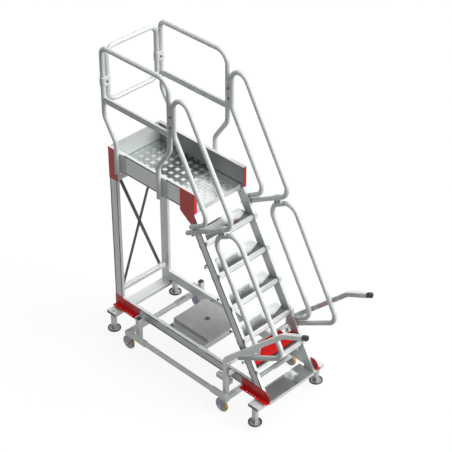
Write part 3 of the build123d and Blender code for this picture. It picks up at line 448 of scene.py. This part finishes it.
# The red coat takes painted light on the faces that look up
red_coat = coated("red_coat", (0.62, 0.010, 0.012), (0.70, 0.015, 0.016), 0.38, painted_top_light=(0.84, 0.005, 0.006))
SLOTS = {
    "profile_alu": profile_y,
    "tube_alu": tube_alu,
    "tread_alu": tread_metal("tread_alu"),
    "red_coat": red_coat,
    "slate_coat": slate_coat,
    "black_plastic": black_plastic,
    "ballast": ballast,
    "zinc": zinc,
}
OWN = {
    "deck": chequer_metal("chequer_alu", *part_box("deck")),
    "step_cover": cover_coat("cover_red"),
    "board_rear": board_x,
    "front_traverse": step_metal("step_alu"),
    "rear_traverse": profile_x,
}
for name in ("frame_cross_front", "frame_cross_rear", "lever_tie"):
    OWN[name] = frame_alu
for side_name, side in SIDES:
    OWN[f"board_{side_name}"] = board_metal(f"board_alu_{side_name}", side)
    OWN[f"rear_post_{side_name}"] = profile_z
    OWN[f"frame_side_{side_name}"] = frame_alu
    OWN[f"lever_{side_name}"] = lever_alu
    OWN[f"stringer_{side_name}"] = profile_stair
for corner in CORNERS:
    foot_name, wheel_name = f"foot_{corner}", f"castor_wheel_{corner}"
    OWN[f"castor_fork_{corner}"] = fork_coat
    OWN[foot_name] = foot_metal(foot_name, *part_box(foot_name))
    OWN[wheel_name] = wheel_coat(wheel_name, middle(wheel_name))
for name, node in nodes.items():
    node.data.materials.clear()
    node.data.materials.append(OWN[name] if name in OWN else SLOTS[slot_of[name]])


# Small pieces

def on_stair(along, out):
    """Y and Z of a point so far up the pitch line from the first nose, and so far out from it."""
    y = NOSE_Y + along * math.cos(PITCH) - out * math.sin(PITCH)
    return y, RISE + along * math.sin(PITCH) + out * math.cos(PITCH)


def finish_piece(name, bm, material, body="ladder"):
    """Turn a built mesh into a named piece that rides on a body."""
    bmesh.ops.recalc_face_normals(bm, faces=bm.faces)
    mesh = bpy.data.meshes.new(name)
    bm.to_mesh(mesh)
    bm.free()
    piece = bpy.data.objects.new(name, mesh)
    scene.collection.objects.link(piece)
    mesh.materials.append(material)
    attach(piece, body)


def turned_to(place, axis):
    """Matrix that puts the origin at the place with local Z along the axis."""
    turn = Vector((0, 0, 1)).rotation_difference(Vector(axis)).to_matrix().to_4x4()
    return Matrix.Translation(place) @ turn


def prism(bm, place, axis, radius, height, sides, edge):
    """Straight prism from the place along the axis, its far edge chamfered."""
    matrix = turned_to(place, axis)
    rings = ((radius, 0.0), (radius, height - edge), (radius - edge, height))
    loops = []
    for ring_r, ring_z in rings:
        turns = [2 * math.pi * (k + 0.5) / sides for k in range(sides)]
        spots = [matrix @ Vector((ring_r * math.cos(a), ring_r * math.sin(a), ring_z)) for a in turns]
        loops.append([bm.verts.new(spot) for spot in spots])
    for lower, upper in zip(loops, loops[1:]):
        for k in range(sides):
            bm.faces.new((lower[k], lower[k - 1], upper[k - 1], upper[k]))
    bm.faces.new(loops[0])
    bm.faces.new(loops[-1])


WASHER_T = 0.0025


def bolt(bm, place, axis, head=0.009, washer=0.012, height=0.0075, edge=0.0012):
    """Washer and hexagon head of the given radii standing on a face."""
    axis = Vector(axis).normalized()
    prism(bm, place, axis, washer, WASHER_T, 18, 0.0006)
    prism(bm, Vector(place) + axis * WASHER_T, axis, head, height, 6, edge)


def block(bm, centre, size, edge, turn=0.0):
    """Box with chamfered edges, turned about X."""
    new = bmesh.ops.create_cube(bm, size=1.0)["verts"]
    matrix = Matrix.Translation(centre) @ Matrix.Rotation(turn, 4, "X") @ Matrix.Diagonal((*size, 1))
    bmesh.ops.transform(bm, matrix=matrix, verts=new)
    edges = list({e for v in new for e in v.link_edges})
    bmesh.ops.bevel(bm, geom=edges, offset=edge, segments=2, affect="EDGES")


def slab(bm, section, x0, x1):
    """Straight bar with the given YZ section between two X planes."""
    loops = [[bm.verts.new((x, y, z)) for y, z in section] for x in (x0, x1)]
    for k in range(len(section)):
        bm.faces.new((loops[0][k - 1], loops[0][k], loops[1][k], loops[1][k - 1]))
    bm.faces.new(loops[0])
    bm.faces.new(loops[1])


# Raised bars of the deck, five to a cell and crossed from cell to cell
BAR_L = 0.030
BAR_W = 0.0045
BAR_H = 0.0004
BARS = 5
BAR_OUTLINE = ((-0.5, 0), (-0.3, -0.5), (0.3, -0.5), (0.5, 0), (0.3, 0.5), (-0.3, 0.5))
BAR_RIDGE = (-0.3, 0.3)
RIDGE_OF_SIDE = ((0,), (1, 0), (1,), (1,), (0, 1), (0,))
deck_low, deck_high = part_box("deck")
bm = bmesh.new()
columns = int((deck_high[0] - deck_low[0]) / DECK_CELL)
rows = int((deck_high[1] - deck_low[1]) / DECK_CELL)
for i in range(columns):
    for j in range(rows):
        cell_x = deck_low[0] + (i + 0.5) * DECK_CELL
        cell_y = deck_low[1] + (j + 0.5) * DECK_CELL
        cell_mid = Vector((cell_x, cell_y, deck_high[2]))
        along, across = Vector((1, 0, 0)), Vector((0, 1, 0))
        if (i + j) % 2:
            along, across = across, along
        for k in range(BARS):
            spot = cell_mid + across * (k - (BARS - 1) / 2) * DECK_CELL / BARS
            base = [bm.verts.new(spot + along * u * BAR_L + across * v * BAR_W) for u, v in BAR_OUTLINE]
            crest = spot + Vector((0, 0, BAR_H))
            ridge = [bm.verts.new(crest + along * u * BAR_L) for u in BAR_RIDGE]
            for a, tops in enumerate(RIDGE_OF_SIDE):
                bm.faces.new([base[a], base[(a + 1) % len(base)]] + [ridge[t] for t in tops])
finish_piece("deck_bars", bm, OWN["deck"])

# Fixings of the treads on the stringers' back edges, and the nose ends in front of the stringers
# with thin dark plates on their outer faces as painted shade
NOSE_LIP = 0.036
NOSE_OUT = 0.015
NOSE_CAP_T = 0.0012
SEAT = 0.0003
FIXING = (0.016, 0.044, 0.0135)
FIXING_BACK = 0.007
FIXING_DOWN = 0.020
for side_name, side in SIDES:
    fixings, ends, caps = bmesh.new(), bmesh.new(), bmesh.new()
    stringer_low, stringer_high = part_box(f"stringer_{side_name}")
    stringer_x = (stringer_low[0] + stringer_high[0]) / 2
    outer_x = side * max(abs(stringer_low[0]), abs(stringer_high[0]))
    for number in range(2, RISERS):
        along = RISE * (number - 1) / math.sin(PITCH)
        back_y, back_z = on_stair(along - FIXING_DOWN, -STRINGER_W - FIXING_BACK)
        block(fixings, (stringer_x, back_y, back_z), FIXING, 0.003, PITCH)
        nose_y, nose_z = on_stair(along, 0.0)
        front = nose_y - NOSE_OUT
        top = nose_z + NOSE_OUT
        bottom = top - NOSE_LIP
        section = [(front, top), (front, bottom)]
        for z in (bottom, top):
            section.append((nose_y + (z - nose_z) / math.tan(PITCH) - SEAT, z))
        slab(ends, section, outer_x - side * PROFILE_W, outer_x)
        # Thin dark plate on the nose end's outer face, painted shade of its hollow end
        slab(caps, section, outer_x, outer_x + side * NOSE_CAP_T)
    finish_piece(f"tread_fixings_{side_name}", fixings, dark_bolt)
    finish_piece(f"nose_ends_{side_name}", ends, nose_alu)
    finish_piece(f"nose_end_shade_{side_name}", caps, dark_bolt)

# Thin near-black strips along the outer faces of the profiles, painted shade of their slots
SLOT_EDGE = 0.009
SLOT_W = 0.0085
SLOT_T = 0.0004
SLOT_CHAMFER = 0.0001
for side_name, side in SIDES:
    bm = bmesh.new()
    stringer_low, stringer_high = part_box(f"stringer_{side_name}")
    slot_x = side * (max(abs(stringer_low[0]), abs(stringer_high[0])) + SLOT_T / 2)
    for node in (f"board_{side_name}", f"base_beam_{side_name}"):
        low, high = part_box(node)
        for z in (low[2] + SLOT_EDGE, high[2] - SLOT_EDGE):
            start = low[1]
            if node.startswith("base_beam"):
                start = NOSE_Y + (z - RISE) / math.tan(PITCH) + STRINGER_W / math.sin(PITCH)
            block(bm, (slot_x, (start + high[1]) / 2, z), (SLOT_T, high[1] - start, SLOT_W), SLOT_CHAMFER)
    low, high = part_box(f"rear_post_{side_name}")
    for y in (low[1] + SLOT_EDGE, high[1] - SLOT_EDGE):
        size = (SLOT_T, SLOT_W, high[2] - low[2])
        block(bm, (slot_x, y, (low[2] + high[2]) / 2), size, SLOT_CHAMFER)
    length = (stringer_high[2] - stringer_low[2]) / math.sin(PITCH) - STRINGER_W
    along = (stringer_low[2] - RISE) / math.sin(PITCH) + (length + STRINGER_W) / 2
    for out in (-SLOT_EDGE, SLOT_EDGE - STRINGER_W):
        block(bm, (slot_x, *on_stair(along, out)), (SLOT_T, length, SLOT_W), SLOT_CHAMFER, PITCH)
    finish_piece(f"slots_{side_name}", bm, slot_shade)

# Bolts of the tube clamps: on the stair loops, at the guard's front posts and on the rear guard
RAIL_X = 0.305
CLAMP_R = 0.025
WEB_R = 0.013
UPRIGHT_Y = 0.320
GUARD_FRONT_Y = 0.365
FRONT_CLAMP_Z = 2.4077
REAR_GUARD_X = 0.258
GUARD_X = 0.307
GUARD_REAR_Y = 1.112
REAR_CLAMP_Z = 2.4447
UPPER_ARM = 1.49967
LOOP_GAP = 0.050
GRIP_ALONG = UPPER_ARM - LOOP_GAP / 2
LOOP_OUTS = (0.168, 0.450)
GRIP_OUT = sum(LOOP_OUTS) / 2
GRIP_STEP = 0.022
WEB_STEP = 0.045
for side_name, side in SIDES:
    bm = bmesh.new()
    for face in (-1, 1):
        grip_x = side * RAIL_X + face * CLAMP_R
        for step in (-GRIP_STEP, GRIP_STEP):
            spot = (grip_x, *on_stair(GRIP_ALONG, GRIP_OUT + step))
            bolt(bm, spot, (face, 0, 0), head=0.006, washer=0.008)
        web_x = side * (RAIL_X + GUARD_X) / 2 + face * WEB_R
        web_y = (UPRIGHT_Y + GUARD_FRONT_Y) / 2
        for step in (-WEB_STEP, WEB_STEP):
            bolt(bm, (web_x, web_y, FRONT_CLAMP_Z + step), (face, 0, 0), head=0.006, washer=0.0075)
        spot = (side * (REAR_GUARD_X + GUARD_X) / 2, GUARD_REAR_Y + face * CLAMP_R, REAR_CLAMP_Z)
        bolt(bm, spot, (0, face, 0), head=0.007, washer=0.009)
    finish_piece(f"clamp_bolts_{side_name}", bm, dark_bolt)

# Bolts of the crossed braces, at the crossing and at their ends
BRACE_END = 0.014
bm = bmesh.new()
brace_low, brace_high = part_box("brace_a")
other_low, other_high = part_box("brace_b")
brace_mid = middle("brace_a")
for face, face_y in ((-1, other_low[1]), (1, brace_high[1])):
    bolt(bm, (brace_mid[0], face_y, brace_mid[2]), (0, face, 0))
for x in (brace_low[0] + BRACE_END, brace_high[0] - BRACE_END):
    for z in (brace_low[2] + BRACE_END, brace_high[2] - BRACE_END):
        rising = (x < 0) == (z < brace_mid[2])
        bolt(bm, (x, brace_high[1] if rising else other_high[1], z), (0, 1, 0))
finish_piece("brace_bolts", bm, dark_bolt)

# Caps on the ends of the foot traverses, and the bolts of the rear feet
CAP_T = 0.003
CAP_EDGE = 0.001
for corner in CORNERS:
    foot = middle(f"foot_{corner}")
    seat_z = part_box(f"foot_{corner}")[1][2]
    front_or_rear = corner.split("_")[0]
    half_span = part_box(f"{front_or_rear}_traverse")[1][0]
    cap_x = math.copysign(half_span + CAP_T / 2, foot[0])
    bm = bmesh.new()
    block(bm, (cap_x, foot[1], seat_z + TRAVERSE_H / 2), (CAP_T, TRAVERSE_W, TRAVERSE_H), CAP_EDGE)
    finish_piece(f"traverse_cap_{corner}", bm, cap_grey)
for corner in ("rear_left", "rear_right"):
    bm = bmesh.new()
    foot = middle(f"foot_{corner}")
    top_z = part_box(f"foot_{corner}")[1][2] + TRAVERSE_H
    bolt(bm, (foot[0], foot[1], top_z), (0, 0, 1), head=0.013, washer=0.017)
    finish_piece(f"foot_bolt_{corner}", bm, nut_zinc)

# Plugs on the wheel frame's posts and caps on the ends of its sides
FRAME_T = 0.040
POST_X = 0.362
POST_Y = 0.742
RAIL_Z = 0.160
PLUG_H = 0.008
for side_name, side in SIDES:
    low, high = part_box(f"frame_side_{side_name}")
    bm = bmesh.new()
    block(bm, (side * POST_X, POST_Y, high[2] + PLUG_H / 2), (FRAME_T, FRAME_T, PLUG_H), 0.002)
    finish_piece(f"post_plug_{side_name}", bm, black_plastic)
    bm = bmesh.new()
    rail_x = side * (POST_X + FRAME_T)
    for end_y, out in ((low[1], -1), (high[1], 1)):
        block(bm, (rail_x, end_y + out * CAP_T / 2, RAIL_Z), (FRAME_T, CAP_T, FRAME_T), CAP_EDGE)
    finish_piece(f"rail_caps_{side_name}", bm, frame_alu)

# Plugs in the open tube ends of the guards and handrails
GUARD_FEET_Y = (0.990, 0.505)
LOWER_ARM = 0.420
UPPER_TAIL = STRINGER_W + 0.046
LOWER_TAIL = STRINGER_W + 0.010
TUBE_PLUG = dict(radius=TUBE_R, height=0.004, sides=24, edge=0.0015)
for side_name, side in SIDES:
    bm = bmesh.new()
    guard_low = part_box(f"guard_rail_{side_name}")[0]
    for foot_y in GUARD_FEET_Y:
        prism(bm, (side * GUARD_X, foot_y, guard_low[2]), (0, 0, -1), **TUBE_PLUG)
    back = (0, math.sin(PITCH), -math.cos(PITCH))
    for along, tail in ((UPPER_ARM, UPPER_TAIL), (LOWER_ARM, LOWER_TAIL)):
        prism(bm, (side * RAIL_X, *on_stair(along, -tail)), back, **TUBE_PLUG)
    finish_piece(f"tube_plugs_{side_name}", bm, black_plastic)

# Nuts on the castor stems, and axle bolts on the outsides of the forks
TRAIL = 0.040
STEM_ABOVE = 0.019
FORK_HALF = 0.024
for corner in CORNERS:
    stem_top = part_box(f"castor_fork_{corner}")[1][2]
    wheel = middle(f"castor_wheel_{corner}")
    bm = bmesh.new()
    nut_seat = (wheel[0], wheel[1] - TRAIL, stem_top - STEM_ABOVE)
    bolt(bm, nut_seat, (0, 0, 1), head=0.011, washer=0.015, height=0.010, edge=0.0015)
    for face in (-1, 1):
        spot = (wheel[0] + face * FORK_HALF, wheel[1], wheel[2])
        bolt(bm, spot, (face, 0, 0), head=0.008, washer=0.0105)
    finish_piece(f"castor_nuts_{corner}", bm, nut_zinc, f"fork_{corner}")


# Stage, light and camera
FLOOR_TONE = (0.13, 0.13, 0.13, 1)
FLOOR_GLOW = 0.885
FILL = 0.235


def seen_directly(tree):
    """One for rays from the camera and for reflections, nought for rays that light the object."""
    path = add(tree, "ShaderNodeLightPath")
    seen = maths(tree, "MAXIMUM", path.outputs["Is Camera Ray"], path.outputs["Is Glossy Ray"])
    return maths(tree, "MAXIMUM", seen, path.outputs["Is Transmission Ray"])


def stage_floor():
    """Pale floor that is white to the camera and in reflections, and still takes the object's shadow."""
    mat = bpy.data.materials.new("stage_floor")
    mat.use_nodes = True
    tree = mat.node_tree
    tree.nodes.clear()
    output = add(tree, "ShaderNodeOutputMaterial")
    plain = add(tree, "ShaderNodeBsdfDiffuse")
    plain.inputs["Color"].default_value = FLOOR_TONE
    glow = add(tree, "ShaderNodeEmission")
    glow.inputs["Strength"].default_value = FLOOR_GLOW
    both = add(tree, "ShaderNodeAddShader")
    tree.links.new(plain.outputs["BSDF"], both.inputs[0])
    tree.links.new(glow.outputs["Emission"], both.inputs[1])
    mix = add(tree, "ShaderNodeMixShader")
    tree.links.new(seen_directly(tree), mix.inputs["Fac"])
    tree.links.new(plain.outputs["BSDF"], mix.inputs[1])
    tree.links.new(both.outputs["Shader"], mix.inputs[2])
    tree.links.new(mix.outputs["Shader"], output.inputs["Surface"])
    return mat


bpy.ops.mesh.primitive_plane_add(size=80, location=(0, 0, -0.0005))
floor = bpy.context.object
floor.name = "stage_floor"
floor.data.materials.append(stage_floor())

world = bpy.data.worlds.new("studio")
scene.world = world
world.use_nodes = True
tree = world.node_tree
background = tree.nodes["Background"]
background.inputs["Color"].default_value = (1, 1, 1, 1)
tree.links.new(maths(tree, "MAXIMUM", seen_directly(tree), FILL), background.inputs["Strength"])


def sun(name, towards, strength, angle):
    """Soft far lamp; towards points from the object to the lamp."""
    data = bpy.data.lights.new(name, "SUN")
    data.energy = strength
    data.angle = math.radians(angle)
    lamp = bpy.data.objects.new(name, data)
    scene.collection.objects.link(lamp)
    lamp.rotation_euler = Vector(towards).to_track_quat("Z", "Y").to_euler()


sun("key", (0.42, -0.72, 0.56), 2.8, 50)
sun("top", (0.05, -0.05, 1.0), 0.9, 30)

# Isometric view through a long lens
camera_data = bpy.data.cameras.new("photo_camera")
camera_data.lens = 120.54
camera_data.sensor_width = 36.0
camera_data.sensor_fit = "HORIZONTAL"
camera_data.clip_end = 60
camera = bpy.data.objects.new("photo_camera", camera_data)
scene.collection.objects.link(camera)
camera.location = (-6.826, -6.750, 8.268)
camera.rotation_euler = Euler((math.radians(54.736), 0, math.radians(-45)), "XYZ")
scene.camera = camera
